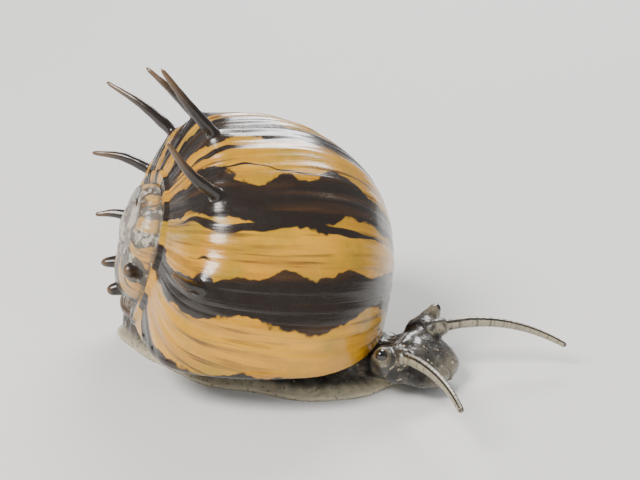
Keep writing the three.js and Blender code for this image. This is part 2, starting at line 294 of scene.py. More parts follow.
def surface_tree(obj):
    corners = [Vector(point) for point in points_of(obj)]
    return BVHTree.FromPolygons(corners, [face.vertices for face in obj.data.polygons])


def set_points(obj, points):
    obj.data.vertices.foreach_set("co", points.astype(np.float32).ravel())
    obj.data.update()
    return obj


def store(obj, **values):
    """Stores values on the points of a mesh, for its material."""
    for name, value in values.items():
        attribute = obj.data.attributes.new(name, "FLOAT", "POINT")
        attribute.data.foreach_set("value", value.astype(np.float32))
    return obj


def corner_points(obj):
    corners = np.zeros(len(obj.data.loops), np.int32)
    obj.data.loops.foreach_get("vertex_index", corners)
    return corners


def mark(obj, **values):
    """Stores values on the corners of the faces, where a union of two meshes keeps them apart."""
    corners = corner_points(obj)
    for name, value in values.items():
        spread = np.broadcast_to(np.asarray(value, float), len(obj.data.vertices))[corners]
        attribute = obj.data.attributes.new(name, "FLOAT", "CORNER")
        attribute.data.foreach_set("value", spread.astype(np.float32))
    return obj


def field(points, scale, seed=0.0):
    """Smooth noise between about -1 and 1 at each point. Scale is in waves a millimetre."""
    shift = Vector((seed, seed * 1.7, seed * 0.6))
    return np.array([noise.noise(Vector(p) * scale + shift) for p in points])


def finish_piece(obj, look, slot, *nodes):
    """Gives a piece its look, turns millimetres into metres, and sets it on the frame."""
    obj.data.materials.clear()
    obj.data.materials.append(look)
    set_points(obj, points_of(obj) * MM)
    obj.data.polygons.foreach_set("use_smooth", [True] * len(obj.data.polygons))
    obj.data.update()
    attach(obj, BODY)
    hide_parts(*nodes)


# Shell frame

towards_apex = direction(APEX_YAW, APEX_PITCH) * [-1, -1, 1]
towards_aperture = unit(np.cross(UP, towards_apex))
towards_back = np.cross(towards_apex, towards_aperture)
shell_axes = np.array([towards_aperture, towards_back, towards_apex])


def to_world(points):
    return points @ shell_axes + APEX


def to_shell(points):
    return (points - APEX) @ shell_axes.T


def carry_to_world(obj):
    return set_points(obj, to_world(points_of(obj)))


def wall_profile(turn, angle, inset=0.0, pole=POLE):
    """Distance from the axis and height along it. The angle runs from 0 at the spire to pi at the base."""
    size = GROWTH ** turn
    sine, cosine = np.sin(angle), np.cos(angle)
    outside = angle <= np.pi
    top = cosine > 0
    swell = SHOULDER_RISE * bell(angle, SHOULDER_ANGLE, SHOULDER_SPREAD)
    swell = swell - RAMP_SINK * bell(angle, RAMP_ANGLE, RAMP_SPREAD)
    side = np.where(outside, WALL_RADIUS * size * (1 + swell) - inset, np.minimum(CORE_HOLLOW, size))
    crest = np.where(top, CREST_RADIUS * size, CORE_HOLLOW)
    level = WALL_HEIGHT * size
    end = np.where(top, CREST_HEIGHT * size - level * swell + inset, pole - inset)
    power = np.where(outside, np.where(top, OUTER_POWER, BASE_POWER), INNER_POWER)
    radius = crest + (side - crest) * np.abs(sine) ** power
    height = -level - (end - level) * np.abs(cosine) ** power
    return radius, height


def wall_point(turn, angle, inset=0.0, pole=POLE):
    radius, height = wall_profile(turn, angle, inset, pole)
    lag = GROWTH_LAG * (1 - np.cos(angle)) / 2
    azimuth = (lag - turn) * TURN
    return np.stack([radius * np.cos(azimuth), radius * np.sin(azimuth), height], axis=-1)


# Growth lines are ridges of several spacings: their count in one turn, and height
GROWTH_LINES = [(31, 0.036), (53, 0.028), (87, 0.02), (139, 0.012)]
# Where growth paused, the old lip still shows as a low step: turn and height
RESTS = [(0.135, 0.1), (-0.045, 0.07), (-0.215, 0.11), (-0.4, 0.08), (-0.57, 0.09)]
REST_RUN, REST_DROP, SLOW_WAVE = 0.02, 0.005, 0.07
# The mounds that carry the spines, and millimetres a radian on the shoulder, along and across the whorl
SEAT_RADIUS, SEAT_HEIGHT, SHOULDER_RADIUS, SHOULDER_BEND = 1.0, 0.3, 8.5, 7.0
# Beyond the spines a dark band comes every so many turns
BAND_SPACING = 0.09


def relief(turn, angle):
    """How far the fine surface stands out from the plain wall, in millimetres."""
    size = GROWTH ** turn
    near_pole = np.abs(np.cos(np.minimum(angle, np.pi) / 2)) ** 0.5 * lerp(0.35, 1, smooth(angle, 0.0, 0.4))
    lines = 0.0
    for count, height in GROWTH_LINES:
        phase = rng.uniform(0, TURN)
        wobble = 0.5 * np.sin(3 * angle + phase) + 0.3 * np.sin(7 * angle + 2 * phase)
        pulse = 0.5 + 0.5 * np.sin(2.3 * TURN * turn + phase)
        lines = lines + height * np.sin(TURN * count * turn + wobble + phase) * (0.4 + pulse)
    for place, height in RESTS:
        bend = turn - place - 0.004 * np.sin(3 * angle + 40 * place) - 0.002 * np.sin(9 * angle)
        lines = lines + height * smooth(bend, -REST_RUN, 0) * fade(bend, 0, REST_DROP)
    slow = SLOW_WAVE * np.sin(5.2 * TURN * turn + 1.3 * angle) * np.sin(2 * angle + 0.8)
    seats = 0.0
    for place, length, *_ in SPINES:
        along = (turn - place) * TURN * SHOULDER_RADIUS * size
        across = (angle - SHOULDER_ANGLE) * SHOULDER_BEND * size
        reach = SEAT_RADIUS * max(0.5, GROWTH ** place)
        strength = SEAT_HEIGHT * min(1.0, length / 3.0)
        seats = seats + strength * np.exp(-(along ** 2 + across ** 2) / reach ** 2)
    return (lines + slow) * near_pole * np.clip(size, 0.15, 1.0) + seats


def whorl(name, start, end, steps, outside, inset, pole, fine=True):
    """One stretch of the coiled tube. A fine one has the relief of its growth lines."""
    beside = 36 if fine else 12
    inner_angles = TURN - np.pi * (np.arange(beside) / beside) ** 1.5
    inner_angles[0] = 0.0
    outer_angles = np.pi * (1 - np.arange(outside) / outside)
    angles = np.concatenate([inner_angles, outer_angles])[None, :]
    turns = np.linspace(start, end, steps + 1)[:, None]
    on_wall = np.where(angles > np.pi, 0.0, angles)
    if fine:
        shown = np.where(angles > np.pi, smooth(angles, 1.6 * np.pi, 1.9 * np.pi), 1.0)
        inset = inset - relief(turns, on_wall) * shown
    made = loft(name, wall_point(turns, angles, inset, pole))
    turns, on_wall = np.broadcast_arrays(turns, on_wall / np.pi)
    return mark(made, turn=turns.ravel(), angle=on_wall.ravel())


def path_points(knots, count):
    """A smooth curve through a few points, by Catmull-Rom."""
    ends = np.array([2 * knots[0] - knots[1], *knots, 2 * knots[-1] - knots[-2]])
    along = np.linspace(0, len(knots) - 1, count)
    first = np.minimum(along.astype(int), len(knots) - 2)
    t = (along - first)[:, None]
    a, b, c, d = [ends[first + k] for k in range(4)]
    square, cube = 2 * a - 5 * b + 4 * c - d, 3 * b - 3 * c + d - a
    return 0.5 * (2 * b + (c - a) * t + square * t ** 2 + cube * t ** 3)


def tube(name, path, radius_at, sides, guide, shape=None):
    """A skin round a path. Shape may change the radius by the place along it and the angle round it."""
    tangents = unit(np.gradient(path, axis=0))
    angles = circle(sides)
    sections = []
    for i, (centre, ahead) in enumerate(zip(path, tangents)):
        t = i / (len(path) - 1)
        across = unit(np.cross(guide, ahead))
        radius = radius_at(t) * (shape(t, angles) if shape else np.ones(sides))
        ring = np.outer(np.cos(angles) * radius, across)
        sections.append(centre + ring + np.outer(np.sin(angles) * radius, np.cross(ahead, across)))
    return loft(name, sections)


def spine_path(place, length, lean, sweep, count):
    seat = wall_point(place, SHOULDER_ANGLE)
    outward = unit(seat - wall_point(place, SHOULDER_ANGLE, 1.0))
    rise = unit(outward * (1 - lean) + lean * UP)
    forward = unit(wall_point(place + 0.01, SHOULDER_ANGLE) - seat)
    knots = [
        seat - rise * SPINE_ROOT,
        seat,
        seat + rise * length * 0.5 - forward * length * sweep / 4,
        seat + rise * length * 0.97 - forward * length * sweep,
    ]
    return path_points(knots, count), forward


def spine_radius(place, length):
    base = lerp(SPINE_WORN_BASE, SPINE_BASE, min(1.0, GROWTH ** place))
    tip = lerp(base * 0.7, SPINE_TIP, float(smooth(length, 0.5, 2.6)))
    worn = length < 1.5

    def radius_at(t):
        taper = lerp(base, tip, t ** 1.05)
        flare = 1 + SPINE_FLARE * bell(t, 0.1, 0.12)
        end = dome((t - 0.5) / 0.5, 3) if worn else dome((t - 0.95) / 0.05)
        return taper * flare * max(0.12, end)

    return radius_at


def spine_mesh(index):
    place, length, lean, sweep = SPINES[index]
    count = 14 + int(length * 7)
    path, forward = spine_path(place, length, lean, sweep, count)
    phase = rng.uniform(0, TURN)

    def shape(t, angles):
        groove = GROOVE_DEPTH * bell((angles + math.pi / 2) % TURN, math.pi, GROOVE_WIDTH)
        rings = SPINE_RING * math.sin(t * length * 9 + phase)
        return 1 - groove * float(smooth(t, 0.1, 0.3)) * (1 - 0.6 * t) + rings

    guide = np.cross(forward, path[-1] - path[0])
    spine = tube(f"spine_{index}", path, spine_radius(place, length), 20, guide, shape)
    return mark(spine, turn=place, angle=SHOULDER_ANGLE / np.pi, spine=1.0,
                spine_along=np.repeat(np.linspace(0, 1, count), 20))


def worn_boss():
    """The blunt apex, eaten away by soft water: an uneven, pitted dome."""
    rings = unit_sphere(40, 60, 0.02)
    points = rings.reshape(-1, 3)
    rough = field(points, 1.7, 3.0) * 0.12 + field(points, 4.5, 8.0) * 0.07
    points = points * (1 + rough)[:, None]
    points = points * [WORN_RADIUS, WORN_RADIUS, WORN_HEIGHT] - [0, 0, WORN_CENTRE]
    return mark(loft("boss", points.reshape(rings.shape)), boss=1.0)


def coil():
    """Both whorls round a core at their axis, still in the shell's own frame."""
    last = whorl("shell", LAST_START, COIL_END, 400, 150, 0.0, POLE)
    older = whorl("older_whorl", COIL_START, OLDER_END, 200, 90, OLDER_INSET, OLDER_POLE)
    join(last, older)
    x, y = CORE_RADIUS * np.cos(circle(24)), CORE_RADIUS * np.sin(circle(24))
    rings = [np.column_stack([x, y, np.full(24, level)]) for level in (-CORE_TOP, -POLE)]
    join(last, mark(loft("core", rings), inside=1.0))
    cut(last, slab("above", 2, low=WORN_HEIGHT / 2 - WORN_CENTRE))
    return join(last, worn_boss())


def aperture_block(name, inset, low, high):
    """What fills the aperture, inset from the outer wall, between two heights above the floor."""
    made = whorl(name, APERTURE_START, COIL_END, 120, 90, inset, POLE, fine=False)
    cut(made, slab("deck_cut", 0, high=DECK_EDGE + inset - LIP))
    carry_to_world(made)
    cut(made, slab("low_cut", 2, high=low))
    return cut(made, slab("high_cut", 2, low=high))


def rim_outline(obj, count):
    """Where the outer wall meets the rim's plane, going round."""
    tree = surface_tree(obj)
    centre = Vector((-1.0, 0.0, RIM + 0.02))
    points = []
    for angle in circle(count):
        way = Vector((math.cos(angle), math.sin(angle), 0.0))
        points.append(tree.ray_cast(centre + way * 30.0, -way)[0])
    return np.array(points)


def lip_bead(outline):
    """A round edge all along the rim, as thick as the lip."""
    radius = LIP / 2
    for _ in range(3):
        outline = (np.roll(outline, 1, axis=0) + 2 * outline + np.roll(outline, -1, axis=0)) / 4
    ahead = np.roll(outline, -1, axis=0) - np.roll(outline, 1, axis=0)
    ahead[:, 2] = 0
    ahead = unit(ahead)
    inward = np.column_stack([-ahead[:, 1], ahead[:, 0], ahead[:, 2]])
    centres = outline + inward * (radius - 0.03)
    angles = circle(16)
    spokes = np.cos(angles)[None, :, None] * inward[:, None, :] + np.sin(angles)[None, :, None] * UP
    bead = loft("lip_bead", centres[:, None, :] + radius * spokes, ring=True)
    turn, angle = nearest_wall(to_shell(points_of(bead)))
    inner = np.tile(smooth(np.cos(angles), -0.1, 0.5), len(centres))
    return mark(bead, turn=turn, angle=angle / np.pi, inside=inner)


def nearest_wall(local):
    """The turn and angle of the wall nearest to each point: a coarse search, then finer steps."""
    radius = np.hypot(local[:, 0], local[:, 1])
    azimuth = np.arctan2(local[:, 1], local[:, 0]) / TURN
    angle, whole, gap = np.zeros(len(local)), np.zeros(len(local)), np.full(len(local), 1e9)

    def turn_at(at_angle, at_whole):
        return GROWTH_LAG * (1 - np.cos(at_angle)) / 2 - azimuth + at_whole

    def improve(at_angle, at_whole):
        turn = turn_at(at_angle, at_whole)
        wall_radius, height = wall_profile(turn, at_angle)
        outside = (turn < COIL_START - 0.02) | (turn > COIL_END + 0.02)
        error = np.hypot(radius - wall_radius, local[:, 2] - height) + 1e6 * outside
        better = error < gap
        for kept, found in ((gap, error), (angle, at_angle), (whole, at_whole)):
            kept[better] = np.broadcast_to(found, len(local))[better]

    step = math.pi / 40
    for each_whole in (-2, -1, 0, 1):
        for each_angle in np.arange(0, math.pi + step / 2, step):
            improve(each_angle, each_whole)
    for _ in range(7):
        step /= 2
        for shift in (-step, step):
            improve(np.clip(angle + shift, 0, math.pi), whole.copy())
    return turn_at(angle, whole), angle


def suture_points(obj):
    """Where faces of two different turns meet."""
    corners = corner_points(obj)

    def marked(name):
        values = np.zeros(len(corners), np.float32)
        obj.data.attributes[name].data.foreach_get("value", values)
        return values

    turns = marked("turn")
    plain = (marked("spine") < 0.5) & (marked("boss") < 0.5) & (marked("inside") < 0.5)
    low, high = np.full(len(obj.data.vertices), 9.0), np.full(len(obj.data.vertices), -9.0)
    np.minimum.at(low, corners[plain], turns[plain])
    np.maximum.at(high, corners[plain], turns[plain])
    return points_of(obj)[high - low > 0.5]


def distance_to(points, others):
    """How far each point lies from the nearest of the others."""
    tree = KDTree(len(others))
    for i, other in enumerate(others):
        tree.insert(other, i)
    tree.balance()
    return np.array([tree.find(point)[2] for point in points])


def callus():
    """The smooth, pale swelling of the deck, between the coiling axis and the back of the shell."""
    along = towards_apex * [1, 1, 0] / math.cos(APEX_PITCH)
    pole = to_world(np.array([0.0, 0.0, -POLE]))
    centre = pole + along * CALLUS_FROM_POLE - towards_aperture * CALLUS_FROM_AXIS
    centre[2] = RIM + CALLUS_THICK - CALLUS_SWELL
    mound = ball("callus", np.zeros(3), 1.0)
    x, y, z = points_of(mound).T
    spread = np.outer(x * CALLUS_LENGTH / 2, along) + np.outer(y * CALLUS_WIDTH / 2, towards_aperture)
    spread[:, 2] = z * CALLUS_THICK
    return mark(set_points(mound, centre + spread), inside=1.0)


def shell_fields(obj):
    """Stores what the colours need besides the growth lines: spine roots, the apex and the suture."""
    world = points_of(obj)
    local = to_shell(world)
    root = np.zeros(len(local))
    for place, length, _, _ in SPINES:
        radius = spine_radius(place, length)(1 / 3)
        away = np.linalg.norm(local - wall_point(place, SHOULDER_ANGLE), axis=1)
        root = np.maximum(root, fade(away / radius, 1.3, 2.6))
    # The suture mask is where painted shade goes: a thin dark line along the crease between the whorls
    suture = fade(distance_to(world, suture_points(obj)), 0.04, 0.32)
    store(obj, spine_root=root, apex_distance=np.linalg.norm(local, axis=1), suture=suture)


def make_shell():
    shell = carry_to_world(coil())
    outline = rim_outline(shell, 360)
    for index, (place, length, _, _) in enumerate(SPINES):
        join(shell, carry_to_world(spine_mesh(index)))
        seat = to_world(wall_point(place, SHOULDER_ANGLE))
        soften_near(shell, seat, 1.5 * spine_radius(place, length)(1 / 3) + 0.45, 10)
    cut(shell, mark(slab("below", 2, high=RIM), inside=1.0))
    join(shell, callus())
    cut(shell, mark(aperture_block("aperture", LIP, 0.0, RIM + APERTURE_DEPTH), inside=1.0))
    join(shell, lip_bead(outline))
    keep_largest(shell)
    shell_fields(shell)
    shell.name = "banded_shell"
    return shell


# Soft body

def foot_outline(angle, inset):
    wave = sum(height * np.sin(count * angle + phase) for count, height, phase in HEM_WAVES)
    grow = wave * max(0.0, 1 - inset / HEM_REACH) - inset
    length = FOOT_LENGTH + grow
    width = (FOOT_WIDTH + grow) * (1 + FOOT_BLUNT * np.cos(angle))
    return FOOT_CENTRE + length * np.cos(angle), width * np.sin(angle)


def foot_form():
    """The sole, its thin wavy hem and the slope up to the body."""
    angles = circle(220)
    edge, hem_top = FOOT_HEM[-1]
    slope = [(edge + FOOT_SLOPE * t, hem_top + (FOOT_TOP - hem_top) * math.sin(t * math.pi / 2))
             for t in np.arange(1, 15) / 14]
    sections = []
    for inset, height in FOOT_HEM + slope:
        x, y = foot_outline(angles, inset)
        ripple = HEM_RIPPLE * np.sin(HEM_RIPPLES * angles + 1.0) * bell(height, 0.2, 0.25)
        sections.append(np.column_stack([x, y, np.maximum(0.0, height + ripple)]))
    return loft("foot_form", sections)


def lid_outline():
    around = circle(LID_SIDES)
    curved = around < math.pi
    depth = np.where(curved, LID_WIDTH * np.abs(np.sin(around)) ** 0.85, LID_BOW * np.sin(around))
    return np.column_stack([LID_FRONT - depth, LID_LENGTH / 2 * np.cos(around)])


def lid_rings(name, centre, rings):
    """A form of level rings, each a share of the operculum's outline about one point."""
    outline = lid_outline()
    sections = []
    for share, height in rings:
        level = np.full(LID_SIDES, FOOT_TOP + height)
        sections.append(np.column_stack([centre + share * (outline - centre), level]))
    return loft(name, sections)


def lid_bed():
    """The lobe of the foot that carries the operculum."""
    return lid_rings("lid_bed", np.mean(lid_outline(), axis=0), LID_BED)


def head_form(grow=0.0):
    """The neck, the wide place at the feelers' roots, and the snout with its round end."""
    angles = circle(72)
    sections = []
    for t in np.linspace(0, 1, 61):
        x = lerp(HEAD_REAR, HEAD_FRONT, 1 - (1 - t) ** 1.6)
        rise = smooth(x, HEAD_ROOTS - HEAD_WIDENING, HEAD_ROOTS)
        round_off = dome((x - HEAD_SNOUT) / (HEAD_FRONT - HEAD_SNOUT), SNOUT_ROUNDNESS)
        width = lerp(lerp(NECK_WIDTH, ROOT_WIDTH, rise), SNOUT_WIDTH, smooth(x, HEAD_ROOTS, HEAD_SNOUT))
        width = width * lerp(SNOUT_END_WIDTH, 1, round_off) + grow
        top = lerp(lerp(NECK_TOP, ROOT_TOP, rise), SNOUT_TOP, smooth(x, HEAD_ROOTS, HEAD_FRONT)) + grow
        bottom = lerp(NECK_BOTTOM, SNOUT_BOTTOM, smooth(x, HEAD_REAR, HEAD_SNOUT)) - grow
        half = (top - bottom) / 2 * lerp(SNOUT_END_HEIGHT, 1, round_off)
        centre = lerp(lerp(bottom, top, SNOUT_END_LEVEL), (top + bottom) / 2, round_off)
        along = np.full(len(angles), x + lerp(-grow, grow, t))
        sections.append(np.column_stack([along, width * np.cos(angles), centre + half * np.sin(angles)]))
    return loft("head_form", sections)


def head_place(place, side):
    forward, out, height = place
    return np.array([HEAD_ROOTS + forward, side * out, height])


def feeler_path(side, count):
    """A cubic curve from inside the head to the feeler's tip."""
    a, b, c, d = [head_place(place, side) for place in FEELER_START + FEELER_END[side]]
    t = np.linspace(0, 1, count)[:, None]
    return (1 - t) ** 3 * a + 3 * (1 - t) ** 2 * t * b + 3 * (1 - t) * t ** 2 * c + t ** 3 * d


def feeler_radius(t):
    flare = 1 + FEELER_FLARE * bell(t, 0.06, 0.08)
    return lerp(FEELER_BASE, FEELER_TIP, t ** FEELER_TAPER) * flare * max(0.2, dome((t - 0.975) / 0.025))


def feeler_form(side):
    def shape(t, angles):
        return 1 + 0.02 * math.sin(t * 150) + 0.03 * np.cos(2 * angles)

    return tube("feeler_form", feeler_path(side, 150), feeler_radius, 20, UP, shape)


def feeler_boss(side):
    """The thick root of a feeler, rounded off inside the head."""
    path = feeler_path(side, 90)
    path = path[:int(len(path) * BOSS_SHARE)]

    def radius_at(t):
        return lerp(BOSS_BASE, BOSS_TOP, t) * max(0.1, dome((0.5 - t) / 0.5))

    return tube("feeler_boss", path, radius_at, 20, UP)


def stalk_ends(side):
    root = head_place(STALK_ROOT, side)
    way = unit(np.array([1, side, 1]) * STALK_WAY)
    return root, root + way * STALK_REACH, way


def stalk_form(side):
    """A short cone with round ends, just behind and beside the feeler."""
    root, tip, way = stalk_ends(side)
    reach = tip + way * STALK_BEYOND - root
    path = root - way * STALK_BURIED + reach * np.linspace(0, 1, 30)[:, None]

    def radius_at(t):
        end = min(dome((0.35 - t) / 0.35), dome((t - 0.82) / 0.18))
        return lerp(STALK_BASE, STALK_TOP, float(smooth(t, 0.1, 0.9))) * max(0.1, end)

    return tube("stalk_form", path, radius_at, 24, UP)


def remesh(obj, voxel, smoothing):
    """Melts joined forms into one even skin and softens where they meet."""
    step = obj.modifiers.new("remesh", "REMESH")
    step.mode = "VOXEL"
    step.voxel_size = voxel
    step = obj.modifiers.new("soften", "SMOOTH")
    step.factor = 0.5
    step.iterations = smoothing
    return apply_modifiers(obj)


def trunk_form():
    """The body below the shell, drawn in towards the foot as it comes down."""
    inset = LIP + MANTLE_GAP + MANTLE_WIDTH + TRUNK_GAP
    trunk = aperture_block("trunk_form", inset, TRUNK_LOW, RIM + APERTURE_DEPTH - TRUNK_GAP)
    remesh(trunk, 2.5 * SKIN_VOXEL, 1)
    points = points_of(trunk)
    waist = fade(points[:, 2], TRUNK_LOW, RIM + 0.5)
    for axis, (share, shift) in enumerate(WAIST):
        points[:, axis] = lerp(points[:, axis], points[:, axis] * share + shift, waist)
    return set_points(trunk, points)


def soften_flank(obj):
    """Rounds the fold between the foot and the body that rises into the shell."""
    x, _, z = points_of(obj).T
    weight = smooth(z, 0.7, 1.2) * fade(z, 2.8, 3.4) * fade(x, 6.5, 8.5)
    soften(obj, weight * (weight > 0.01), 150)


def way_out(obj, path):
    """The first point of a path that is outside a closed form."""
    tree = surface_tree(obj)
    for point in path:
        near, normal, _, _ = tree.find_nearest(Vector(point))
        if (Vector(point) - near).dot(normal) > 0:
            return point
    return path[-1]


def edge_distance(points):
    """How far in from the hem of the foot each point lies, seen from above."""
    x, y = points[:, 0] - FOOT_CENTRE, points[:, 1]
    angle = np.arctan2(y / FOOT_WIDTH, x / FOOT_LENGTH)
    edge_x, edge_y = foot_outline(angle, 0.0)
    return np.hypot(edge_x - FOOT_CENTRE, edge_y) - np.hypot(x, y), angle


def sculpt_body(obj):
    """Folds and pits of the living skin: pleats by the hem, wrinkles on the neck, lips and a mouth."""
    points, out = points_of(obj), points_of(obj, "normal")
    x, y, z = points.T
    inward, angle = edge_distance(points)
    grain = field(points, 1.3, 5.0) * 0.05 + field(points, 3.2, 9.0) * 0.03
    shift = grain * (0.35 + 0.65 * smooth(z, 0.3, 0.9))
    pleats = np.sin(PLEATS * angle + 2.0 * field(points, 0.5, 2.0)) * bell(inward, 0.9, 0.9)
    shift += PLEAT_DEPTH * pleats * smooth(z, 0.2, 0.6) * fade(x, 8.2, 9.4)
    neck = smooth(x, 5.5, 7.5) * fade(x, 10.0, 11.0) * smooth(z, 0.6, 1.4)
    shift += WRINKLE_DEPTH * np.sin(5.5 * x + 2.5 * field(points, 0.8, 4.0)) * neck
    front = smooth(x, 11.3, 12.0) * smooth(-z, -1.65, -1.3)
    lips = bell(np.abs(y), MOUTH_LIP_OUT, MOUTH_LIP_WIDTH)
    shift += front * (MOUTH_LIP_HEIGHT * lips - MOUTH_DEPTH * bell(y, 0, MOUTH_WIDTH))
    chin = smooth(x, 11.6, 12.1) * smooth(-np.abs(y), -1.6, -0.7)
    shift -= CHIN_CREASE * bell(z, 0.95, 0.1) * chin
    points = points + out * shift[:, None]
    points[:, 0] -= SNOUT_DIP * bell(y, 0, 0.7) * smooth(x, 11.4, 12.3)
    flat = (z < 0.12) & (out[:, 2] < -0.6) & (x < FOOT_CENTRE + FOOT_LENGTH + 0.3)
    points[:, 2] = np.where(flat, 0.0, np.maximum(points[:, 2], 0.0))
    set_points(obj, points)


def body_fields(obj):
    """Stores where the hem, sole, snout and feelers are, for the skin's colours."""
    points = points_of(obj)
    x, _, z = points.T
    inward, _ = edge_distance(points)
    feeler, stripe, stalks = np.zeros((3, len(points)))
    steps = 80
    for side in SIDES:
        path = feeler_path(side, steps)
        for i, (centre, ahead) in enumerate(zip(path, np.gradient(path, axis=0))):
            t = i / (steps - 1)
            gap = np.linalg.norm(points - centre, axis=1)
            near = (gap < feeler_radius(t) * 1.35) & (x > HEAD_ROOTS + 0.15)
            across = unit(np.cross(UP, ahead))
            sideways = (points - centre) @ across / feeler_radius(t)
            feeler = np.where(near, max(t, 0.02), feeler)
            stripe = np.where(near, sideways, stripe)
        _, tip, _ = stalk_ends(side)
        stalks = np.maximum(stalks, fade(np.linalg.norm(points - tip, axis=1), 0.55, 0.95))
    hem = fade(inward, 0.15, 1.1) * fade(z, 0.5, 1.0) * (x < FOOT_CENTRE + FOOT_LENGTH + 0.4)
    store(obj, hem=hem, sole=z < 0.02, snout=smooth(x, 11.3, 12.3))
    store(obj, feeler=feeler, stripe=stripe, eye_rim=stalks)


def make_body():
    """One skin over the foot, trunk, head and feelers, with a socket for each eye."""
    body = foot_form()
    for form in (lid_bed, trunk_form, head_form):
        join(body, form())
    for side in SIDES:
        join(body, stalk_form(side))
        join(body, feeler_boss(side))
    remesh(body, SKIN_VOXEL, 7)
    for side in SIDES:
        root, _, way = stalk_ends(side)
        soften_near(body, root - way * 0.4 - np.array([0.5, 0.0, 0.0]), 2.0, 60)
    soften_flank(body)
    sculpt_body(body)
    for side in SIDES:
        joint = way_out(body, feeler_path(side, 80))
        join(body, feeler_form(side))
        soften_near(body, joint, 1.3, 14)
        _, tip, way = stalk_ends(side)
        cut(body, ball("socket", tip + way * EYE_FORWARD, EYE_RADIUS + EYE_PLAY))
    body_fields(body)
    body.name = "living_body"
    return body


def make_mantle():
    """The dark, frilled edge of the mantle just inside the lip."""
    inset = LIP + MANTLE_GAP
    mantle = aperture_block("mantle_frill", inset, RIM, RIM + MANTLE_HEIGHT)
    cut(mantle, aperture_block("mantle_hole", inset + MANTLE_WIDTH, RIM - 1, RIM + 3))
    cut(mantle, head_form(TRUNK_GAP))
    remesh(mantle, SKIN_VOXEL, 4)
    points, out = points_of(mantle), points_of(mantle, "normal")
    angle = np.arctan2(points[:, 1], points[:, 0])
    frill = FRILL_HEIGHT * np.sin(FRILLS * angle + 2 * field(points, 0.4, 1.0))
    frill = (frill + FRILL_GRAIN * field(points, 2.0, 6.0)) * fade(points[:, 2], RIM, RIM + 0.9)
    points = points + out * frill[:, None]
    points[:, 2] = np.maximum(points[:, 2], RIM)
    return set_points(mantle, points)


def make_eye(side, name):
    """A dark ball with a slightly raised lens, looking out along its stalk."""
    _, tip, way = stalk_ends(side)
    tip = tip + way * EYE_FORWARD
    eye = ball(name, np.zeros(3), 1.0)
    points = points_of(eye)
    lens = bell(points @ way, 1, LENS_SPREAD)
    set_points(eye, tip + points * (EYE_RADIUS * (1 + LENS_BULGE * lens))[:, None])
    return store(eye, lens=lens)


def make_lid():
    """The operculum: a limy D with arched growth lines that start near one end of its straight side."""
    rings = [(s, LID_GAP) for s in (0.04, 0.35, 0.7, 0.97)] + [(1.0, LID_GAP + LID_EDGE)]
    for s in np.linspace(0.985, 0.03, 80):
        lines = 0.02 * math.sin(95 * s) + 0.015 * math.sin(41 * s + 1)
        rise = LID_RIM * float(smooth(s, 0.8, 0.97)) - LID_DISH * math.sin(s * math.pi)
        rings.append((s, LID_GAP + LID_THICKNESS + rise + lines))
    nucleus = np.array([LID_FRONT - LID_START[0], -LID_START[1]])
    grown = np.repeat([share for share, _ in rings], LID_SIDES)
    return store(lid_rings("limy_lid", nucleus, rings), grown=grown)


# Materials

class Graph:
    """A few short words for the shader nodes of one material."""

    def __init__(self, name, **sockets):
        self.material = bpy.data.materials.new(name)
        self.material.use_nodes = True
        self.tree = self.material.node_tree
        self.shader = self.tree.nodes["Principled BSDF"]
        for socket, value in sockets.items():
            self.shader.inputs[socket.replace("_", " ")].default_value = value

    def add(self, kind, inputs, output=0, **settings):
        node = self.tree.nodes.new("ShaderNode" + kind)
        for key, value in settings.items():
            setattr(node, key, value)
        for key, value in inputs.items():
            self.feed(node.inputs[key], value)
        return node.outputs[output]

    def feed(self, socket, value):
        if isinstance(value, bpy.types.NodeSocket):
            self.tree.links.new(value, socket)
        elif value is not None:
            socket.default_value = value

    def attribute(self, name):
        return self.add("Attribute", {}, 2, attribute_name=name)

    def millimetres(self):
        where = self.add("TexCoord", {}, 3)
        return self.add("VectorMath", {0: where, 3: 1 / MM}, operation="SCALE")

    def vector(self, x, y):
        return self.add("CombineXYZ", {0: x, 1: y})

    def work(self, operation, a, b=0.0):
        return self.add("Math", {0: a, 1: b, 2: 0.0}, operation=operation)

    plus = partialmethod(work, "ADD")
    minus = partialmethod(work, "SUBTRACT")
    times = partialmethod(work, "MULTIPLY")
    most = partialmethod(work, "MAXIMUM")

    def noise(self, where, scale, detail=3.0, roughness=0.55):
        """Smooth noise. The scale is in waves a unit."""
        inputs = {"Vector": where, "Scale": scale, "Detail": detail, "Roughness": roughness}
        return self.add("TexNoise", inputs)

    def cells(self, where, scale):
        """Distance to the nearest of scattered points, for spots and warts."""
        return self.add("TexVoronoi", {"Vector": where, "Scale": scale})

    def band(self, value, low, high, to_low=0.0, to_high=1.0):
        """A soft step between two values."""
        return self.add("MapRange", {0: value, 1: low, 2: high, 3: to_low, 4: to_high},
                        interpolation_type="SMOOTHSTEP")

    def steps(self, value, knots):
        """A broken line through a few pairs of numbers."""
        total = knots[0][1]
        for (low, low_out), (high, high_out) in zip(knots, knots[1:]):
            limits = {1: low, 2: high, 3: 0.0, 4: high_out - low_out}
            total = self.plus(total, self.add("MapRange", {0: value, **limits}))
        return total

    def mix(self, share, a, b):
        return self.add("Mix", {0: share, 6: colour(a), 7: colour(b)}, 2, data_type="RGBA")

    def bump(self, height, strength, depth, normal=None):
        """Dents or raises the surface by up to a depth in millimetres."""
        inputs = {"Height": height, "Strength": strength, "Distance": depth * MM, "Normal": normal}
        return self.add("Bump", inputs)

    def finish(self, base, rough, bumps=None):
        for socket, value in (("Base Color", base), ("Roughness", rough), ("Normal", bumps)):
            self.feed(self.shader.inputs[socket], value)
        return self.material


def colour(value):
    return (*value, 1.0) if isinstance(value, tuple) else value


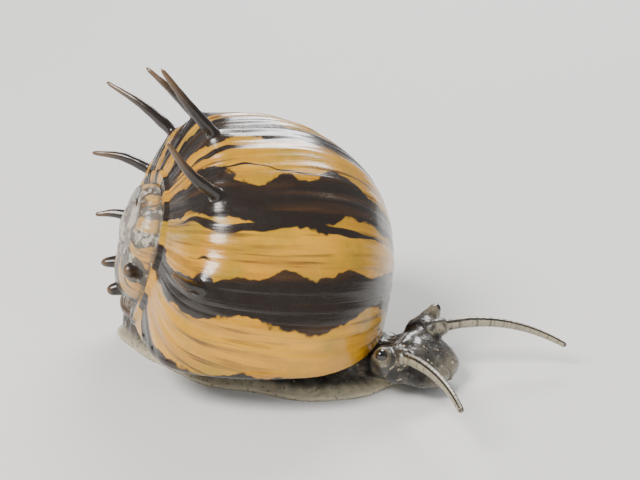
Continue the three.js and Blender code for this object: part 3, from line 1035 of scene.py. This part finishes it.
# Colours of the shell
DARK_BAND, WARM_DARK = (0.014, 0.009, 0.006), (0.06, 0.026, 0.008)
GOLD, AMBER, OLIVE = (0.62, 0.3, 0.012), (0.36, 0.145, 0.006), (0.33, 0.2, 0.012)
HORN, PORCELAIN = (0.12, 0.07, 0.035), (0.68, 0.6, 0.46)
CHALK, LAYER = (0.5, 0.45, 0.37), (0.2, 0.17, 0.15)

# Its pattern, in bands: how far they drift, fray and wander, and half widths from thinnest to widest
DRIFT, FRAY, WANDER = 0.3, 0.07, 0.5
BAND_WIDTH, THIN_WIDTH, THIN_COUNT = (0.16, 0.36), (-0.05, 0.14), 3.0
# How far from the apex the surface is worn off, how ragged that edge is, and the turns from old to young
WORN_REACH, WORN_EDGE, WORN_RIM, WORN_FRAY = 2.3, 2.4, 2.9, 1.1
OLD, YOUNG = -1.1, -0.25


def band_knots():
    """Turn and band number. Each spine stands in a dark band."""
    places = [place for place, *_ in reversed(SPINES)]
    inner = (places[0] - 8 * BAND_SPACING, -8.0)
    outer = (places[-1] + 4 * BAND_SPACING, len(places) + 3.0)
    return [inner, *((place, float(i)) for i, place in enumerate(places)), outer]


def shell_bands(g, turn, streaks):
    """Where the wall is dark: wide bands through the spines, and thin ones among them."""
    number = g.steps(turn, band_knots())

    def lines(phase, width, soft):
        return g.band(g.minus(width, g.work("PINGPONG", phase, 0.5)), -soft, soft)

    drift = g.band(streaks(5.0, 2.2, 2.0), 0.2, 0.8, -DRIFT, DRIFT)
    fray = g.band(streaks(34.0, 12.0), 0.2, 0.8, -FRAY, FRAY)
    width = g.band(streaks(3.0, 1.6, 1.0), 0.25, 0.75, *BAND_WIDTH)
    wide = lines(g.plus(number, g.plus(drift, fray)), width, 0.012)
    wander = g.band(streaks(9.0, 2.6), 0.2, 0.8, -WANDER, WANDER)
    width = g.band(streaks(16.0, 1.3, 1.0), 0.5, 0.7, *THIN_WIDTH)
    return g.most(wide, lines(g.plus(g.times(number, THIN_COUNT), wander), width, 0.02))


def shell_gold(g, where, streaks):
    """The ground colour between the bands, with fine streaks along the growth lines."""
    tone = g.band(streaks(55.0, 1.6, 4.0, 0.6), 0.36, 0.66)
    gold = g.mix(g.times(tone, 0.75), GOLD, AMBER)
    gold = g.mix(g.band(g.noise(where, 0.4), 0.4, 0.75), gold, OLIVE)
    patch = g.band(streaks(9.0, 4.0, 2.0), 0.34, 0.6)
    hairline = g.band(streaks(120.0, 2.0, 3.0, 0.65), 0.52, 0.62)
    return g.mix(g.times(hairline, g.times(patch, 0.85)), gold, WARM_DARK)


def shell_look():
    """Dark and golden bands that follow the growth lines, dark spines, a worn apex and a pale inside."""
    g = Graph("shell_look", Coat_Weight=0.35, Coat_Roughness=0.12, IOR=1.5)
    where, turn, angle = g.millimetres(), g.attribute("turn"), g.attribute("angle")
    spine, inside = g.attribute("spine"), g.attribute("inside")

    def streaks(along, down, detail=3.0, roughness=0.55):
        """Noise drawn out along the growth lines: waves in one turn, and from the spire to the base."""
        return g.noise(g.vector(g.times(turn, along), g.times(angle, down)), 1.0, detail, roughness)

    root = g.plus(g.attribute("spine_root"), g.band(g.noise(where, 1.6), 0.2, 0.8, -0.25, 0.25))
    dark = g.most(shell_bands(g, turn, streaks), g.band(root, 0.5, 0.6))
    deep = g.mix(g.band(streaks(46.0, 1.5), 0.5, 0.72), DARK_BAND, WARM_DARK)
    base = g.mix(dark, shell_gold(g, where, streaks), deep)
    # Painted shade: the crease of the suture is darkened towards the dark band colour
    base = g.mix(g.times(g.attribute("suture"), 0.85), base, DARK_BAND)
    age = g.band(turn, OLD, YOUNG, 1.0, 0.0)
    scuff = g.band(g.plus(g.noise(where, 1.9, 5.0, 0.7), g.times(age, 0.16)), 0.7, 0.76)
    base = g.mix(g.times(scuff, 0.8), base, CHALK)
    base = g.mix(g.times(age, 0.18), base, CHALK)
    base = g.mix(spine, base, g.mix(g.band(g.attribute("spine_along"), 0.6, 1.0), DARK_BAND, HORN))
    fray = g.band(g.noise(where, 0.7, 2.5), 0.25, 0.75, -WORN_FRAY, WORN_FRAY)
    away = g.plus(g.attribute("apex_distance"), fray)
    base = g.mix(g.band(away, WORN_EDGE, WORN_RIM, 0.9, 0.0), base, WARM_DARK)
    worn = g.most(g.band(away, WORN_REACH, WORN_EDGE, 1.0, 0.0), g.attribute("boss"))
    base = g.mix(worn, base, g.mix(g.band(g.noise(where, 1.3, 5.0), 0.4, 0.6), CHALK, LAYER))
    base = g.mix(inside, base, PORCELAIN)
    rough = g.band(g.noise(where, 1.5), 0.3, 0.7, 0.18, 0.3)
    rough = g.plus(rough, g.times(g.most(worn, scuff), 0.4))
    rough = g.plus(rough, g.times(age, 0.12))
    plain = g.minus(1.0, g.most(g.most(spine, inside), worn))
    bumps = g.bump(g.times(streaks(420.0, 5.0, 3.0, 0.6), plain), 0.6, 0.05)
    bumps = g.bump(g.times(g.noise(where, 3.0, 6.0, 0.7), worn), 0.8, 0.25, bumps)
    return g.finish(base, rough, bumps)


# Colours of the soft parts
FLESH_DARK, FLESH_GREY = (0.015, 0.013, 0.012), (0.075, 0.065, 0.052)
CREAM, HEM, FEELER_PALE = (0.52, 0.44, 0.28), (0.42, 0.37, 0.26), (0.3, 0.27, 0.19)
SOLE_PALE, SOLE_GREY = (0.5, 0.45, 0.34), (0.3, 0.26, 0.2)
MANTLE_DARK, MANTLE_GREY = (0.012, 0.011, 0.01), (0.07, 0.06, 0.045)
EYE_DARK, EYE_BROWN, LENS_BLACK = (0.006, 0.005, 0.005), (0.02, 0.014, 0.01), (0.002, 0.002, 0.003)
LIME_PALE, LIME_BROWN, LIME_WORN = (0.36, 0.3, 0.24), (0.15, 0.11, 0.085), (0.46, 0.38, 0.31)
HORN_EDGE = (0.09, 0.055, 0.035)


def feeler_stripes(g, feeler):
    """Two dark lines along each feeler, and fine rings across it."""
    from_line = g.work("ABSOLUTE", g.minus(g.work("ABSOLUTE", g.attribute("stripe")), 0.55))
    lengthwise = g.band(from_line, 0.12, 0.3, 1.0, 0.0)
    rings = g.noise(g.vector(g.times(feeler, 46.0), 0.0), 1.0, 2.0)
    cross = g.times(g.band(rings, 0.5, 0.62), 0.6)
    return g.mix(g.most(lengthwise, cross), FEELER_PALE, FLESH_DARK)


def body_look():
    """Dark mottled flesh with cream flecks, a pale hem and sole, and striped feelers."""
    g = Graph("body_look", Subsurface_Weight=0.25, Subsurface_Scale=0.6 * MM, Coat_Weight=0.35,
              Coat_Roughness=0.18, IOR=1.38)
    where, feeler = g.millimetres(), g.attribute("feeler")
    base = g.mix(g.band(g.noise(where, 0.9, 4.0), 0.35, 0.7), FLESH_DARK, FLESH_GREY)
    warped = g.add("VectorMath", {0: where, 1: g.noise(where, 1.6)}, operation="ADD")
    fleck = g.band(g.cells(warped, 2.3), 0.1, 0.24, 1.0, 0.0)
    base = g.mix(g.times(fleck, g.band(g.noise(where, 0.7, 2.0), 0.42, 0.6)), base, CREAM)
    spots = g.band(g.cells(where, 3.4), 0.12, 0.3, 0.75, 0.0)
    base = g.mix(g.attribute("hem"), base, g.mix(spots, HEM, FLESH_GREY))
    base = g.mix(g.times(g.attribute("snout"), 0.35), base, HEM)
    blotch = g.band(g.noise(where, 2.2), 0.3, 0.7, -0.12, 0.12)
    base = g.mix(g.band(g.plus(feeler, blotch), 0.06, 0.34), base, feeler_stripes(g, feeler))
    sole = g.mix(g.band(g.noise(where, 0.5, 3.0), 0.35, 0.65), SOLE_PALE, SOLE_GREY)
    base = g.mix(g.attribute("sole"), base, sole)
    base = g.mix(g.times(g.attribute("eye_rim"), 0.25), base, CREAM)
    rough = g.band(g.noise(where, 2.0), 0.3, 0.7, 0.26, 0.44)
    warts = g.band(g.cells(where, 3.6), 0.0, 0.55, 1.0, 0.0)
    bumps = g.bump(g.noise(where, 7.0, 4.0), 0.3, 0.04, g.bump(warts, 0.35, 0.08))
    return g.finish(base, rough, bumps)


def mantle_look():
    g = Graph("mantle_look", Subsurface_Weight=0.15, Subsurface_Scale=0.4 * MM, Coat_Weight=0.4,
              Coat_Roughness=0.15, IOR=1.38)
    where = g.millimetres()
    base = g.mix(g.band(g.noise(where, 1.8, 4.0), 0.45, 0.7), MANTLE_DARK, MANTLE_GREY)
    base = g.mix(g.band(g.cells(where, 2.8), 0.08, 0.2, 0.7, 0.0), base, CREAM)
    rough = g.band(g.noise(where, 2.0), 0.3, 0.7, 0.25, 0.4)
    return g.finish(base, rough, g.bump(g.noise(where, 4.0, 4.0), 0.4, 0.06))


def eye_look():
    g = Graph("eye_look", Coat_Weight=1.0, Coat_Roughness=0.03, IOR=1.45)
    where = g.millimetres()
    base = g.mix(g.attribute("lens"), g.mix(g.noise(where, 6.0), EYE_DARK, EYE_BROWN), LENS_BLACK)
    return g.finish(base, g.band(g.noise(where, 5.0), 0.3, 0.7, 0.08, 0.16))


def lid_look():
    """Chalky arcs along the growth lines, with a dark horny edge."""
    g = Graph("lid_look", Coat_Weight=0.2, Coat_Roughness=0.2, IOR=1.5)
    where, grown = g.millimetres(), g.attribute("grown")
    arcs = g.noise(g.vector(g.times(grown, 26.0), 0.0), 1.0, 3.0, 0.7)
    base = g.mix(g.band(arcs, 0.35, 0.65), LIME_PALE, LIME_BROWN)
    base = g.mix(g.band(g.noise(where, 1.2, 4.0), 0.45, 0.7), base, LIME_WORN)
    base = g.mix(g.band(grown, 0.9, 0.99), base, HORN_EDGE)
    rough = g.band(g.noise(where, 2.0), 0.3, 0.7, 0.3, 0.5)
    return g.finish(base, rough, g.bump(arcs, 0.5, 0.05))


# Studio

FLOOR_HALF, FLOOR_GREY, FLOOR_PALE = 3.0, (0.72, 0.715, 0.7), (0.75, 0.745, 0.73)
SKY, SKY_STRENGTH = (0.86, 0.87, 0.89, 1.0), 0.36
# Lamps: place and width in metres, power in watts, and tint. They face a point above the foot.
LAMPS = {
    "key": ((-0.07, -0.16, 0.2), 0.13, 1.15, (1.0, 0.97, 0.93)),
    "fill": ((0.2, -0.1, 0.09), 0.24, 0.34, (0.93, 0.96, 1.0)),
    "rim": ((-0.05, 0.2, 0.16), 0.12, 0.6, (1.0, 1.0, 1.0)),
}
LAMP_TARGET = Vector((0, 0, 0.006))
VIEW_AZIMUTH, VIEW_ELEVATION = math.radians(28), math.radians(21)
VIEW_TARGET, VIEW_DISTANCE, VIEW_LENS = Vector((0.0033, 0.0003, 0.0079)), 0.096, 90


def place_in_scene(name, data, location, backward):
    """Adds a lamp or a camera that faces away from a direction."""
    made = bpy.data.objects.new(name, data)
    made.location = location
    made.rotation_mode = "QUATERNION"
    made.rotation_quaternion = backward.to_track_quat("Z", "Y")
    bpy.context.scene.collection.objects.link(made)
    return made


def make_floor():
    corners = [(x * FLOOR_HALF, y * FLOOR_HALF, 0) for x, y in ((-1, -1), (1, -1), (1, 1), (-1, 1))]
    floor = mesh_object("studio_floor", corners, [(0, 1, 2, 3)])
    g = Graph("floor_look")
    shade = g.mix(g.noise(g.millimetres(), 0.004), FLOOR_GREY, FLOOR_PALE)
    floor.data.materials.append(g.finish(shade, 0.75))


def make_light():
    world = bpy.data.worlds.new("studio")
    world.use_nodes = True
    background = world.node_tree.nodes["Background"]
    background.inputs[0].default_value = SKY
    background.inputs[1].default_value = SKY_STRENGTH
    bpy.context.scene.world = world
    for name, (place, size, power, tint) in LAMPS.items():
        data = bpy.data.lights.new(name, "AREA")
        data.shape = "DISK"
        data.size = size
        data.energy = power
        data.color = tint
        lamp = place_in_scene(name, data, place, Vector(place) - LAMP_TARGET)
        lamp.visible_glossy = name != "fill"


def make_camera():
    data = bpy.data.cameras.new("camera")
    data.lens = VIEW_LENS
    data.clip_start = 0.005
    along, across, up = direction(VIEW_AZIMUTH, VIEW_ELEVATION)
    back = Vector((across, -along, up))
    bpy.context.scene.camera = place_in_scene("camera", data, VIEW_TARGET + back * VIEW_DISTANCE, back)


def main():
    make_camera()
    make_floor()
    make_light()
    finish_piece(make_shell(), shell_look(), "shell", "shell")
    finish_piece(make_body(), body_look(), "flesh", "foot", "trunk", "head", "tentacle_left_root",
                 "tentacle_left_tip", "tentacle_right_root", "tentacle_right_tip", "eyestalk_left",
                 "eyestalk_right")
    finish_piece(make_mantle(), mantle_look(), "mantle", "mantle_edge")
    eye_finish = eye_look()
    for side, name in zip(SIDES, ("left", "right")):
        finish_piece(make_eye(side, f"eyeball_{name}"), eye_finish, "eye", f"eye_{name}")
    finish_piece(make_lid(), lid_look(), "operculum", "operculum")


main()
